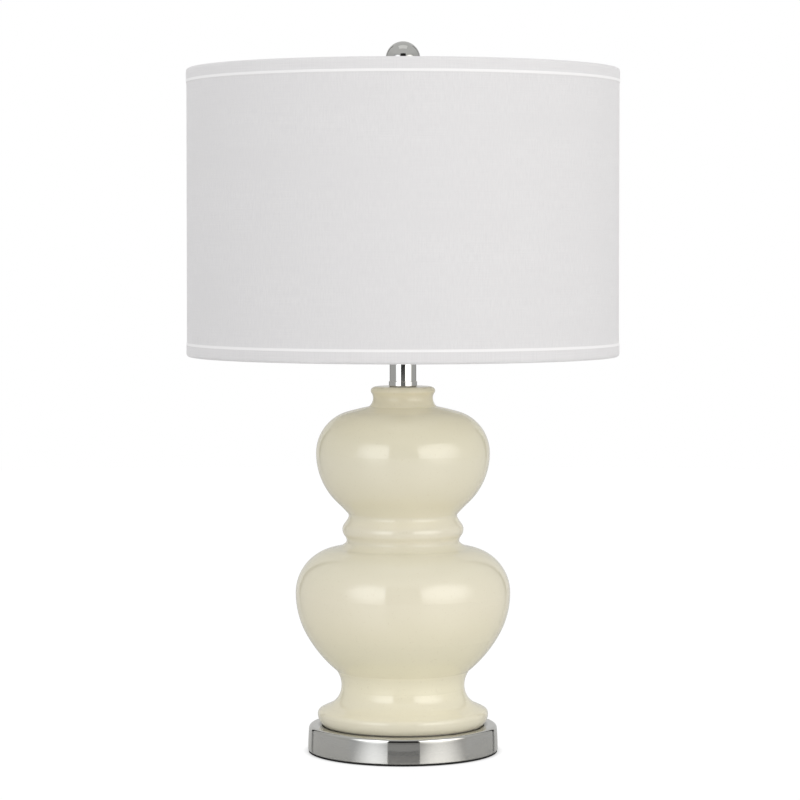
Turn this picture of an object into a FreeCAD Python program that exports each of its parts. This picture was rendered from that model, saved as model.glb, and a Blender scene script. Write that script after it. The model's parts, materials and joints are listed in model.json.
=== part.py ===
# Double gourd table lamp: a hollow ceramic body on a round metal base, with a turn-knob
# lamp socket, a detachable harp, a linen drum shade and a ball finial.
# Millimetres, +Z up. The lamp's axis is Z, and it stands on Z = 0 with its front towards -Y.
import FreeCAD
import Part
import math
import os

os.makedirs("parts", exist_ok=True)

# Driving sizes: base
base_radius = 90.2
base_taper = 1.2
base_edge_round = 2.0
pan_height = 24.2
pan_wall = 1.5
pan_flange = 9.0
felt_thickness = 1.2
felt_inset = 0.5

# Driving sizes: cord outlet in the base's back wall
bushing_bore_radius = 3.5
bushing_neck_radius = 5.2
bushing_flange_radius = 7.8
bushing_flange_reach = 2.2
bushing_barb_length = 4.0
bushing_barb_height = 0.5

# Driving sizes: ceramic body. Each rise is counted from the station before it, foot first.
ceramic_wall = 6.0
crease_round = 2.0
foot_rim_radius = 77.2
foot_bulge_radius = 81.0
foot_bulge_rise = 9.6
foot_shoulder_radius = 78.4
foot_shoulder_rise = 4.2
foot_cove_radius = 71.4
foot_cove_rise = 3.15
stem_radius = 58.6
stem_rise = 17.05
lower_crease_radius = 63.0
lower_crease_rise = 16.85
lower_flank_radius = 90.9
lower_flank_rise = 33.0
lower_belly_radius = 101.95
lower_belly_rise = 40.9
lower_shoulder_radius = 64.5
lower_shoulder_rise = 42.55
ring_groove_radius = 53.8
ring_groove_rise = 5.45
ring_cove_radius = 55.2
ring_cove_rise = 6.15
ring_bead_radius = 57.55
ring_bead_rise = 6.2
ring_fall_radius = 55.8
ring_fall_rise = 5.05
waist_radius = 52.05
waist_rise = 5.65
upper_crease_radius = 52.6
upper_crease_rise = 4.9
upper_flank_radius = 62.0
upper_flank_rise = 9.55
upper_belly_radius = 82.55
upper_belly_rise = 47.3
upper_shoulder_radius = 52.9
upper_shoulder_rise = 39.15
neck_crease_radius = 32.1
neck_crease_rise = 5.05
neck_radius = 28.4
neck_rise = 8.15
lip_start_radius = 30.05
lip_start_rise = 4.95
lip_radius = 29.85
lip_rise = 3.9
lip_top_radius = 25.85
lip_top_rise = 1.9

# Driving sizes: lamp pipe and the fasteners that clamp the lamp together
rod_radius = 5.15
rod_bore_radius = 3.5
rod_clearance = 0.15
thread_clearance = 0.05
rod_tail = 3.0
washer_radius = 25.0
washer_thickness = 1.6
lock_washer_radius = 8.6
lock_washer_thickness = 1.6
lock_washer_slit = 2.0
rod_nut_flats = 17.5
rod_nut_height = 5.0
saddle_nut_flats = 14.3
saddle_nut_height = 4.0

# Driving sizes: gaskets and neck
foot_gasket_thickness = 0.8
foot_gasket_width = 14.0
foot_gasket_inset = 1.2
neck_gasket_thickness = 0.5
neck_gasket_inset = 0.7
collar_radius = 13.45
collar_height = 4.5
edge_chamfer = 0.4
cap_height = 3.0
spigot_height = 3.0
spigot_clearance = 0.1
tube_radius = 12.7
tube_wall = 1.0
tube_length = 33.5

# Driving sizes: harp, its saddle and the sliding ferrules
saddle_thickness = 2.0
saddle_width = 14.0
saddle_plate_half = 14.0
saddle_rise = 9.5
saddle_boss_radius = 3.6
saddle_boss_height = 3.0
tongue_height = 10.0
harp_leg_offset = 31.0
harp_leg_spare = 1.0
harp_wire_radius = 2.2
harp_half_width = 57.0
harp_height = 229.0
harp_belly_rise = 88.0
harp_top_radius = 38.0
ferrule_radius = 4.2
ferrule_clearance = 0.3
ferrule_length = 15.0
ferrule_travel = 12.0
swivel_radius = 6.5
swivel_height = 11.0
stud_radius = 3.05
stud_length = 11.5

# Driving sizes: lamp socket
socket_hub_radius = 8.0
socket_hub_height = 5.5
socket_cap_radius = 17.2
socket_cap_height = 22.0
socket_cap_wall = 0.8
set_screw_radius = 1.5
set_screw_reach = 2.0
shell_clearance = 0.2
shell_wall = 0.5
shell_overlap = 6.0
shell_height = 42.0
shell_bead = 0.8
liner_clearance = 0.1
switch_body_clearance = 0.2
liner_wall = 0.6
switch_body_height = 13.0
terminal_block_radius = 11.0
terminal_block_height = 10.0
terminal_foot_height = 2.5
terminal_screw_radius = 2.8
terminal_screw_head = 2.0
terminal_shank_radius = 1.4
terminal_screw_depth = 5.5
screw_shell_wall = 0.5
screw_shell_height = 23.0
contact_radius = 3.2
contact_height = 2.0
contact_round = 0.5

# Driving sizes: turn knob
stem_bore_depth = 9.0
switch_stem_radius = 2.0
switch_stem_clearance = 0.06
stem_port_radius = 3.6
knob_gap = 1.6
knob_length = 13.0
knob_radius = 4.9
knob_draft = 0.7
knob_flutes = 12
knob_flute_radius = 1.0
knob_grip = 8.0

# Driving sizes: light bulb
bulb_base_radius = 13.0
bulb_clearance = 0.3
bulb_base_length = 20.0
bulb_cement_gap = 0.2
bulb_button_radius = 4.5
bulb_button_height = 1.5
bulb_button_round = 0.5
bulb_insulator_height = 4.0
bulb_neck_radius = 12.4
bulb_globe_radius = 30.0
bulb_globe_rise = 74.0
bulb_flank_radius = 25.8
bulb_flank_drop = 24.0
bulb_throat_radius = 13.4
bulb_throat_rise = 2.0
glass_wall = 0.8

# Driving sizes: shade
shade_radius = 204.8
shade_height = 271.0
shade_drop = 18.0
trim_thickness = 0.8
trim_width = 13.2
trim_inner_width = 6.0
trim_clearance = 0.3
trim_creases = 3
cover_thickness = 0.5
liner_sheet = 0.4
shade_wire_radius = 1.6
spider_hub_radius = 10.0
spider_hub_bore = 3.4
spider_hub_thickness = 1.5
spider_wire_radius = 1.5
spider_flat = 14.0
spider_bend = 25.0
spider_arms = 3

# Driving sizes: finial
finial_foot_radius = 7.5
finial_foot_height = 2.0
finial_waist_radius = 4.9
finial_neck_height = 11.5
finial_seat_radius = 6.4
finial_bore_clearance = 0.3
finial_ball_radius = 16.4

# Every height is stacked up from the table, so what stands on a piece follows it.
z_pan = felt_thickness
z_base_top = z_pan + pan_height
z_pan_ceiling = z_base_top - pan_wall
z_outlet = z_pan + pan_height / 2
z_washer = z_pan_ceiling - washer_thickness
z_lock_washer = z_washer - lock_washer_thickness
z_rod_nut = z_lock_washer - rod_nut_height
z_rod_bottom = z_rod_nut - rod_tail
z_foot = z_base_top + foot_gasket_thickness

foot_bulge = (foot_bulge_radius, z_foot + foot_bulge_rise)
foot_shoulder = (foot_shoulder_radius, foot_bulge[1] + foot_shoulder_rise)
foot_cove = (foot_cove_radius, foot_shoulder[1] + foot_cove_rise)
stem = (stem_radius, foot_cove[1] + stem_rise)
lower_crease = (lower_crease_radius, stem[1] + lower_crease_rise)
lower_flank = (lower_flank_radius, lower_crease[1] + lower_flank_rise)
lower_belly = (lower_belly_radius, lower_flank[1] + lower_belly_rise)
lower_shoulder = (lower_shoulder_radius, lower_belly[1] + lower_shoulder_rise)
ring_groove = (ring_groove_radius, lower_shoulder[1] + ring_groove_rise)
ring_cove = (ring_cove_radius, ring_groove[1] + ring_cove_rise)
ring_bead = (ring_bead_radius, ring_cove[1] + ring_bead_rise)
ring_fall = (ring_fall_radius, ring_bead[1] + ring_fall_rise)
waist = (waist_radius, ring_fall[1] + waist_rise)
upper_crease = (upper_crease_radius, waist[1] + upper_crease_rise)
upper_flank = (upper_flank_radius, upper_crease[1] + upper_flank_rise)
upper_belly = (upper_belly_radius, upper_flank[1] + upper_belly_rise)
upper_shoulder = (upper_shoulder_radius, upper_belly[1] + upper_shoulder_rise)
neck_crease = (neck_crease_radius, upper_shoulder[1] + neck_crease_rise)
neck = (neck_radius, neck_crease[1] + neck_rise)
lip_start = (lip_start_radius, neck[1] + lip_start_rise)
lip = (lip_radius, lip_start[1] + lip_rise)
lip_top = (lip_top_radius, lip[1] + lip_top_rise)

z_body_top = lip_top[1]
z_collar = z_body_top + neck_gasket_thickness
z_tube = z_collar + collar_height
z_cap = z_tube + tube_length
z_saddle = z_cap + cap_height
z_saddle_nut = z_saddle + saddle_thickness
z_shoulder = z_saddle_nut + saddle_rise
z_socket = z_saddle_nut + saddle_nut_height
z_rod_top = z_socket + socket_hub_height
z_seat = z_shoulder + harp_height
z_harp_wire = z_seat - swivel_height / 2
z_shade_top = z_seat + shade_drop
z_shade_bottom = z_shade_top - shade_height
z_finial = z_seat + spider_hub_thickness
z_ball_flat = z_finial + finial_neck_height
z_ball = z_ball_flat + math.sqrt(finial_ball_radius ** 2 - finial_seat_radius ** 2)

# The shade's cover and liner lie under the folded trim, with the wire ring in its fold.
cover_radius = shade_radius - trim_thickness
liner_outer = cover_radius - cover_thickness
wire_ring_radius = liner_outer - liner_sheet - trim_clearance - shade_wire_radius
rim_round = shade_wire_radius + trim_clearance + trim_thickness
z_top_ring = z_shade_top - rim_round

# The socket's shells nest inside one another, and the bulb's screw base sets the innermost.
shell_radius = socket_cap_radius - socket_cap_wall - shell_clearance
liner_radius = shell_radius - shell_wall - liner_clearance
switch_body_radius = liner_radius - liner_wall - switch_body_clearance
screw_shell_bore = bulb_base_radius + bulb_clearance
z_cap_rim = z_socket + socket_cap_height
z_shell = z_cap_rim - shell_overlap
z_shell_top = z_shell + shell_height
z_terminal_foot = z_rod_top + socket_cap_wall
z_terminal_block = z_terminal_foot + terminal_foot_height
z_switch_body = z_terminal_block + terminal_block_height
z_knob = z_switch_body + switch_body_height / 2
z_screw_shell = z_switch_body + switch_body_height
z_bulb = z_screw_shell + contact_height
z_bulb_neck = z_bulb + bulb_button_height + bulb_insulator_height
z_bulb_base_end = z_bulb_neck + bulb_base_length
z_globe = z_bulb + bulb_globe_rise

origin = FreeCAD.Vector(0, 0, 0)
up = FreeCAD.Vector(0, 0, 1)
front = FreeCAD.Vector(0, -1, 0)
side = FreeCAD.Vector(1, 0, 0)


def at(point):
    # A (radius, height) station as a point in the XZ plane.
    return FreeCAD.Vector(point[0], 0, point[1])


def straight(*points):
    return [Part.LineSegment(at(a), at(b)).toShape() for a, b in zip(points, points[1:])]


def tangent_arcs(points, heading):
    # Arcs through the points, each tangent to the one before it. heading is the direction at
    # the first point, in degrees: 0 is outwards and 90 is up.
    edges = []
    for start, end in zip(points, points[1:]):
        run = end[0] - start[0]
        rise = end[1] - start[1]
        chord = math.hypot(run, rise)
        half_turn = (math.degrees(math.atan2(rise, run)) - heading + 180) % 360 - 180
        bulge = 0.5 * math.tan(math.radians(half_turn / 2))
        middle = ((start[0] + end[0]) / 2 + bulge * rise, (start[1] + end[1]) / 2 - bulge * run)
        if abs(bulge * chord) < 0.001:
            edges += straight(start, end)
        else:
            edges.append(Part.Arc(at(start), at(middle), at(end)).toShape())
        heading += 2 * half_turn
    return edges


def wire_of(edges):
    return Part.Wire(Part.sortEdges(edges)[0])


def turned(edges):
    # A solid of revolution about Z from a closed half outline.
    return Part.Face(wire_of(edges)).revolve(origin, up, 360)


def ring(outer, inner, bottom, top):
    return Part.makeCylinder(outer, top - bottom, at((0, bottom))).cut(
        Part.makeCylinder(inner, top - bottom, at((0, bottom)))
    )


def hex_nut(flats, bottom, height):
    corners = []
    for turn in range(0, 361, 60):
        angle = math.radians(turn)
        corners.append(FreeCAD.Vector(math.cos(angle), math.sin(angle), 0) * (flats / math.sqrt(3)))
    blank = Part.Face(Part.makePolygon(corners)).extrude(up * height).translate(up * bottom)
    return blank.cut(Part.makeCylinder(rod_radius + thread_clearance, height, at((0, bottom))))


def wire_rod(edges, radius):
    # A round wire of this radius, swept along the edges.
    path = wire_of(edges)
    first = path.OrderedEdges[0]
    start = first.valueAt(first.FirstParameter)
    heading = first.tangentAt(first.FirstParameter)
    section = Part.Wire(Part.makeCircle(radius, start, heading))
    return path.makePipeShell([section], True, False)


def rod_hole(bottom, top):
    return Part.makeCylinder(rod_radius + rod_clearance, top - bottom, at((0, bottom)))


# Base

def pan_outline():
    top_radius = base_radius - base_taper
    edge = (top_radius - base_edge_round, z_base_top)
    wall_top = (top_radius, z_base_top - base_edge_round)
    return (
        straight((0, z_base_top), edge)
        + tangent_arcs([edge, wall_top], 0)
        + straight(wall_top, (base_radius, z_pan), (0, z_pan), (0, z_base_top))
    )


def pan_blank():
    return turned(pan_outline())


def base_pan():
    hollow = turned(
        straight(
            (0, z_pan_ceiling),
            (base_radius - base_taper - pan_wall, z_pan_ceiling),
            (base_radius - pan_wall, z_pan + pan_wall),
            (base_radius - pan_flange, z_pan + pan_wall),
            (base_radius - pan_flange, z_pan),
            (0, z_pan),
            (0, z_pan_ceiling),
        )
    )
    outlet = Part.makeCylinder(
        bushing_neck_radius + rod_clearance,
        2 * pan_flange,
        FreeCAD.Vector(0, base_radius - pan_flange, z_outlet),
        -front,
    )
    return pan_blank().cut(hollow).cut(rod_hole(z_pan, z_base_top)).cut(outlet)


def felt_pad():
    return Part.makeCylinder(base_radius - felt_inset, felt_thickness)


def cord_bushing():
    # A flanged snap-in bushing whose flange follows the round wall that it is pressed into.
    wall_face = base_radius - pan_wall - base_taper
    inner_end = wall_face - bushing_barb_length
    outer_end = base_radius + bushing_flange_reach

    def barrel(radius, start, end):
        return Part.makeCylinder(radius, end - start, FreeCAD.Vector(0, start, z_outlet), -front)

    flange = barrel(bushing_flange_radius, inner_end, outer_end).cut(pan_blank())
    stem_part = barrel(bushing_neck_radius, inner_end, outer_end)
    barb_end = wall_face - bushing_barb_height
    barb = barrel(bushing_neck_radius + bushing_barb_height, inner_end, barb_end)
    bore = barrel(bushing_bore_radius, inner_end, outer_end)
    return flange.fuse([stem_part, barb]).cut(bore).removeSplitter()


def rod_washer():
    return ring(washer_radius, rod_radius + rod_clearance, z_washer, z_pan_ceiling)


def lock_washer():
    corner = FreeCAD.Vector(-lock_washer_slit / 2, -lock_washer_radius, z_lock_washer)
    slit = Part.makeBox(lock_washer_slit, lock_washer_radius, lock_washer_thickness, corner)
    return ring(lock_washer_radius, rod_radius + rod_clearance, z_lock_washer, z_washer).cut(slit)


def rod_nut():
    return hex_nut(rod_nut_flats, z_rod_nut, rod_nut_height)


def threaded_rod():
    return ring(rod_radius, rod_bore_radius, z_rod_bottom, z_rod_top)


# Ceramic body

def body_flank():
    # The outside from the foot's rim up to the neck: tangent arcs that meet at the creases.
    return (
        tangent_arcs([foot_bulge, (foot_rim_radius, z_foot)], -90)
        + tangent_arcs([foot_bulge, foot_shoulder, foot_cove, stem, lower_crease], 90)
        + tangent_arcs([lower_belly, lower_flank, lower_crease], -90)
        + tangent_arcs([lower_belly, lower_shoulder, ring_groove], 90)
        + tangent_arcs([ring_bead, ring_cove, ring_groove], -90)
        + tangent_arcs([ring_bead, ring_fall, waist, upper_crease], 90)
        + tangent_arcs([upper_belly, upper_flank, upper_crease], -90)
        + tangent_arcs([upper_belly, upper_shoulder, neck_crease], 90)
        + tangent_arcs([neck, neck_crease], -90)
    )


def rounded_at(solid, stations, radius):
    # Fillets on the round edges that pass through these stations.
    points = [Part.Vertex(at(station)) for station in stations]
    edges = []
    for edge in solid.Edges:
        if edge.Closed and min(edge.distToShape(point)[0] for point in points) < 0.001:
            edges.append(edge)
    return solid.makeFillet(radius, edges)


def ceramic_body():
    # Slip-cast: the inside runs at one wall's thickness behind the outside, open at the foot.
    outside = turned(
        body_flank()
        + tangent_arcs([neck, lip_start, lip, lip_top], 90)
        + straight(lip_top, (0, z_body_top), (0, z_foot), (foot_rim_radius, z_foot))
    )
    flank = wire_of(body_flank())
    inner_flank = flank.makeOffset2D(-ceramic_wall, join=0, fill=False, openResult=True)
    ends = sorted([vertex.Point for vertex in inner_flank.Vertexes], key=lambda point: point.z)
    foot_end = (ends[0].x, ends[0].z)
    neck_end = (ends[-1].x, ends[-1].z)
    z_ceiling = z_body_top - ceramic_wall
    cavity = turned(
        inner_flank.Edges
        + straight(neck_end, (neck_end[0], z_ceiling), (0, z_ceiling), (0, z_foot))
        + straight((0, z_foot), (foot_end[0], z_foot), foot_end)
    )
    outside = rounded_at(outside, [lower_crease, ring_groove, neck_crease], crease_round)
    return outside.cut(cavity).cut(rod_hole(z_ceiling, z_body_top))


def foot_gasket():
    outer = foot_rim_radius - foot_gasket_inset
    return ring(outer, outer - foot_gasket_width, z_base_top, z_foot)


# Neck

def neck_gasket():
    return ring(collar_radius - neck_gasket_inset, rod_radius + rod_clearance, z_body_top, z_collar)


def seating_ring(height):
    # A chamfered flange on Z = 0 with a spigot above it that centres the neck tube.
    spigot_radius = tube_radius - tube_wall - spigot_clearance
    bore = rod_radius + rod_clearance
    return turned(
        straight(
            (bore, 0),
            (collar_radius - edge_chamfer, 0),
            (collar_radius, edge_chamfer),
            (collar_radius, height - edge_chamfer),
            (collar_radius - edge_chamfer, height),
            (spigot_radius, height),
            (spigot_radius, height + spigot_height),
            (bore, height + spigot_height),
            (bore, 0),
        )
    )


def neck_collar():
    return seating_ring(collar_height).translate(up * z_collar)


def neck_tube():
    return ring(tube_radius, tube_radius - tube_wall, z_tube, z_cap)


def neck_cap():
    return seating_ring(cap_height).rotate(origin, side, 180).translate(up * z_saddle)


# Harp and saddle

def mirrored(shape):
    return shape.mirror(origin, side)


def lap_block():
    # The space on the inner side of each leg's centre, where the saddle's tongue stands.
    corner = FreeCAD.Vector(-harp_leg_offset, -2 * harp_wire_radius, z_shoulder)
    return Part.makeBox(2 * harp_leg_offset, 4 * harp_wire_radius, tongue_height, corner)


def harp_saddle():
    # A bent strip that tapers from the plate to a boss at each end, with half-round tongues.
    arm_run = harp_leg_offset - saddle_plate_half
    arm_rise = z_shoulder - saddle_boss_height - z_saddle
    drop = saddle_thickness * math.hypot(arm_run, arm_rise) / arm_run
    strip_side = [
        (0, z_saddle),
        (saddle_plate_half, z_saddle),
        (harp_leg_offset, z_saddle + arm_rise),
        (harp_leg_offset, z_saddle + arm_rise + drop),
        (saddle_plate_half - (drop - saddle_thickness) * arm_run / arm_rise, z_saddle_nut),
        (0, z_saddle_nut),
        (0, z_saddle),
    ]
    strip = Part.Face(wire_of(straight(*strip_side))).extrude(-front * saddle_width)
    strip.translate(front * (saddle_width / 2))
    half = saddle_width / 2
    corners = [
        (0, -half),
        (saddle_plate_half, -half),
        (harp_leg_offset, -saddle_boss_radius),
        (harp_leg_offset, saddle_boss_radius),
        (saddle_plate_half, half),
        (0, half),
        (0, -half),
    ]
    plan = Part.makePolygon([FreeCAD.Vector(x, y, z_saddle) for x, y in corners])
    strip = strip.common(Part.Face(plan).extrude(up * (z_shoulder - z_saddle)))
    boss_length = saddle_boss_height + saddle_thickness
    boss_foot = at((harp_leg_offset, z_shoulder - boss_length))
    boss = Part.makeCylinder(saddle_boss_radius, boss_length, boss_foot)
    tongue = Part.makeCylinder(harp_wire_radius, tongue_height, at((harp_leg_offset, z_shoulder)))
    arm = strip.fuse([boss, tongue.common(lap_block())])
    return arm.fuse(mirrored(arm)).removeSplitter().cut(rod_hole(z_saddle, z_saddle_nut))


def saddle_nut():
    return hex_nut(saddle_nut_flats, z_saddle_nut, saddle_nut_height)


def harp_wire(radius):
    # Leg, flare, side and top of one half: straight, two equal arcs, one long arc, one short arc.
    z_leg_top = z_shoulder + ferrule_length + ferrule_travel + harp_leg_spare
    z_belly = z_shoulder + harp_belly_rise
    flare_middle = ((harp_leg_offset + harp_half_width) / 2, (z_leg_top + z_belly) / 2)
    top_rise = z_harp_wire - harp_top_radius - z_belly
    side_radius = (harp_half_width ** 2 + top_rise ** 2 - harp_top_radius ** 2) / (
        2 * (harp_half_width - harp_top_radius)
    )
    turn = math.atan2(top_rise, side_radius - harp_half_width)
    side_end = (
        harp_top_radius * math.cos(turn),
        z_belly + top_rise + harp_top_radius * math.sin(turn),
    )
    half = (
        straight((harp_leg_offset, z_shoulder), (harp_leg_offset, z_leg_top))
        + tangent_arcs([(harp_leg_offset, z_leg_top), flare_middle, (harp_half_width, z_belly)], 90)
        + tangent_arcs([(harp_half_width, z_belly), side_end, (0, z_harp_wire)], 90)
    )
    return wire_rod(half + [mirrored(edge) for edge in half], radius)


def harp_bow():
    return harp_wire(harp_wire_radius).cut(lap_block())


def harp_swivel():
    # The turned seat on top of the harp, with the stud that the shade and finial go over.
    seat = Part.makeCylinder(swivel_radius, swivel_height, at((0, z_seat - swivel_height)))
    seat = seat.makeChamfer(edge_chamfer, [edge for edge in seat.Edges if edge.Closed])
    stud = Part.makeCylinder(stud_radius, stud_length, at((0, z_seat)))
    return seat.cut(harp_wire(harp_wire_radius + thread_clearance)).fuse(stud)


def ferrule_right():
    bore = harp_wire_radius + ferrule_clearance
    z_end = z_shoulder + ferrule_length
    sleeve = turned(
        straight(
            (bore, z_shoulder),
            (ferrule_radius - edge_chamfer, z_shoulder),
            (ferrule_radius, z_shoulder + edge_chamfer),
            (ferrule_radius, z_end - edge_chamfer),
            (ferrule_radius - edge_chamfer, z_end),
            (bore, z_end),
            (bore, z_shoulder),
        )
    )
    return sleeve.translate(side * harp_leg_offset)


def ferrule_left():
    return mirrored(ferrule_right())


# Lamp socket

def cap_outline(inset):
    # The socket cap's bowl, from the hub out to the rim, moved in by the wall.
    z_hub = z_socket + socket_hub_height + inset
    hub_edge = (socket_hub_radius, z_hub)
    rim_radius = socket_cap_radius - inset
    bend = (rim_radius, z_socket + socket_hub_height + (socket_cap_radius - socket_hub_radius) + inset)
    return hub_edge, bend, (rim_radius, z_cap_rim)


def set_screw_blank(radius, reach):
    start = rod_radius + thread_clearance
    place = FreeCAD.Vector(0, start, z_socket + socket_hub_height / 2)
    return Part.makeCylinder(radius, reach, place, -front)


def socket_cap():
    hub_edge, bend, rim = cap_outline(0)
    inner_hub, inner_bend, inner_rim = cap_outline(socket_cap_wall)
    bowl = turned(
        straight((0, z_socket), (socket_hub_radius, z_socket), hub_edge)
        + tangent_arcs([hub_edge, bend], 0)
        + straight(bend, rim, inner_rim, inner_bend)
        + tangent_arcs([inner_hub, inner_bend], 0)
        + straight(inner_hub, (0, inner_hub[1]), (0, z_socket))
    )
    thread = Part.makeCylinder(rod_radius + thread_clearance, z_rod_top - z_socket, at((0, z_socket)))
    return bowl.cut(thread).cut(set_screw_blank(set_screw_radius + thread_clearance, socket_hub_radius))


def socket_cap_screw():
    return set_screw_blank(set_screw_radius, socket_hub_radius - rod_radius + set_screw_reach)


def stem_port(radius):
    # The hole through the socket's shells that the switch stem turns in.
    return Part.makeCylinder(radius, 2 * socket_cap_radius, FreeCAD.Vector(0, 0, z_knob), front)


def socket_shell():
    # A thin drawn tube with a rolled bead round its mouth.
    tube = ring(shell_radius, shell_radius - shell_wall, z_shell, z_shell_top)
    middle = shell_radius - shell_wall / 2
    bead_foot = (middle, z_shell_top - 2 * shell_bead)
    bead_side = (middle + shell_bead, z_shell_top - shell_bead)
    bead_top = (middle, z_shell_top)
    bead = turned(tangent_arcs([bead_foot, bead_side, bead_top], 0) + straight(bead_top, bead_foot))
    return tube.fuse(bead).cut(stem_port(stem_port_radius)).removeSplitter()


def socket_liner():
    tube = ring(liner_radius, liner_radius - liner_wall, z_shell, z_shell_top - 2 * shell_bead)
    return tube.cut(stem_port(stem_port_radius))


def terminal_pin(radius, start, end):
    # A cylinder that stands out of the terminal block, between these distances from the axis.
    place = FreeCAD.Vector(start, 0, z_terminal_block + terminal_block_height / 2)
    return Part.makeCylinder(radius, end - start, place, side)


def socket_body():
    # Moulded block: a foot on the cap's hub, a narrow part for the wiring screws, and the
    # drum of the switch.
    foot = Part.makeCylinder(socket_hub_radius, terminal_foot_height, at((0, z_terminal_foot)))
    block = Part.makeCylinder(terminal_block_radius, terminal_block_height, at((0, z_terminal_block)))
    drum = Part.makeCylinder(switch_body_radius, switch_body_height, at((0, z_switch_body)))
    body = foot.fuse([block, drum])
    bore = Part.makeCylinder(
        switch_stem_radius + switch_stem_clearance,
        stem_bore_depth,
        FreeCAD.Vector(0, stem_bore_depth - switch_body_radius, z_knob),
        front,
    )
    inner_end = terminal_block_radius - terminal_screw_depth
    screw_hole = terminal_pin(terminal_shank_radius + thread_clearance, inner_end, terminal_block_radius)
    return body.cut([bore, screw_hole, mirrored(screw_hole)])


def terminal_screws():
    inner_end = terminal_block_radius - terminal_screw_depth
    shank = terminal_pin(terminal_shank_radius, inner_end, terminal_block_radius)
    head_end = terminal_block_radius + terminal_screw_head
    screw = shank.fuse(terminal_pin(terminal_screw_radius, terminal_block_radius, head_end))
    return Part.makeCompound([screw, mirrored(screw)])


def screw_shell():
    outer = screw_shell_bore + screw_shell_wall
    cup = Part.makeCylinder(outer, screw_shell_height, at((0, z_screw_shell)))
    bore = Part.makeCylinder(screw_shell_bore, screw_shell_height, at((0, z_screw_shell + screw_shell_wall)))
    window = Part.makeCylinder(2 * contact_radius, screw_shell_height, at((0, z_screw_shell)))
    return cup.cut(bore).cut(window)


def centre_contact():
    button = Part.makeCylinder(contact_radius, contact_height, at((0, z_screw_shell)))
    return button.makeFillet(contact_round, [button.Edges[0]])


# Turn knob

def switch_stem():
    start = FreeCAD.Vector(0, stem_bore_depth - switch_body_radius, z_knob)
    reach = shell_radius + knob_gap + knob_length / 2 + stem_bore_depth - switch_body_radius
    return Part.makeCylinder(switch_stem_radius, reach, start, front)


def switch_knob():
    # Turned along Z first: a flared skirt, a fluted grip with draft, and a rounded end.
    tip = knob_radius - knob_draft
    blank = turned(
        straight((0, 0), (knob_radius, 0), (tip, knob_length - knob_draft))
        + tangent_arcs([(tip, knob_length - knob_draft), (tip - knob_draft, knob_length)], 90)
        + straight((tip - knob_draft, knob_length), (0, knob_length), (0, 0))
    )
    flute = Part.makeCylinder(knob_flute_radius, knob_grip, at((knob_radius, knob_length - knob_grip)))
    for i in range(knob_flutes):
        blank = blank.cut(flute.copy().rotate(origin, up, i * 360 / knob_flutes))
    blank = blank.cut(Part.makeCylinder(switch_stem_radius, knob_length / 2))
    blank.rotate(origin, side, 90)
    return blank.translate(FreeCAD.Vector(0, -shell_radius - knob_gap, z_knob))


# Light bulb

def bulb_contact():
    button = Part.makeCylinder(bulb_button_radius, bulb_button_height, at((0, z_bulb)))
    return button.makeFillet(bulb_button_round, [button.Edges[2]])


def bulb_insulator():
    z_low = z_bulb + bulb_button_height
    return turned(
        straight((0, z_low), (bulb_button_radius, z_low), (bulb_neck_radius, z_bulb_neck))
        + straight((bulb_neck_radius, z_bulb_neck), (0, z_bulb_neck), (0, z_low))
    )


def bulb_screw_base():
    return ring(bulb_base_radius, bulb_neck_radius + bulb_cement_gap, z_bulb_neck, z_bulb_base_end)


def bulb_outline(inset):
    # The crown, the flank and the neck inside the screw base, moved in by the inset.
    belly = (bulb_globe_radius - inset, z_globe)
    flank = (bulb_flank_radius - inset, z_globe - bulb_flank_drop)
    throat = (bulb_throat_radius - inset, z_bulb_base_end + bulb_throat_rise)
    neck_top = (bulb_neck_radius - inset, z_bulb_base_end)
    neck_end = (bulb_neck_radius - inset, z_bulb_neck)
    return (
        tangent_arcs([belly, (0, z_globe + bulb_globe_radius - inset)], 90)
        + tangent_arcs([belly, flank, throat, neck_top], -90)
        + straight(neck_top, neck_end)
    )


def bulb_globe():
    z_top = z_globe + bulb_globe_radius
    inner_neck = bulb_neck_radius - glass_wall
    return turned(
        bulb_outline(0)
        + bulb_outline(glass_wall)
        + straight((bulb_neck_radius, z_bulb_neck), (inner_neck, z_bulb_neck))
        + straight((0, z_top), (0, z_top - glass_wall))
    )


# Shade

def shade_skin(outer, thickness):
    return ring(outer, outer - thickness, z_shade_bottom + rim_round, z_shade_top - rim_round)


def shade_cover():
    return shade_skin(cover_radius, cover_thickness)


def shade_liner():
    return shade_skin(liner_outer, liner_sheet)


def wire_ring(height):
    return Part.makeTorus(wire_ring_radius, shade_wire_radius, at((0, height)))


def shade_top_ring():
    return wire_ring(z_top_ring)


def shade_bottom_ring():
    return wire_ring(z_shade_bottom + rim_round)


def pressed_bend(centre, radius, start):
    # Points a quarter turn round the centre, clockwise from the start angle.
    points = []
    for step in range(trim_creases + 1):
        turn = math.radians(start - step * 90 / trim_creases)
        points.append((centre + radius * math.cos(turn), rim_round + radius * math.sin(turn)))
    return points


def trim_band():
    # A pressed linen strip folded over the rim and the wire ring inside it, with its rim on Z = 0.
    inner_face = wire_ring_radius - rim_round

    def fold(inset):
        # One face of the strip, moved in from the outside by the inset.
        return straight(
            (shade_radius - inset, trim_width),
            *pressed_bend(shade_radius - rim_round, rim_round - inset, 0),
            *pressed_bend(wire_ring_radius, rim_round - inset, -90),
            (inner_face + inset, trim_inner_width),
        )

    return turned(
        fold(0)
        + fold(trim_thickness)
        + straight((shade_radius, trim_width), (shade_radius - trim_thickness, trim_width))
        + straight((inner_face, trim_inner_width), (inner_face + trim_thickness, trim_inner_width))
    )


def bottom_trim():
    return trim_band().translate(up * z_shade_bottom)


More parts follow.
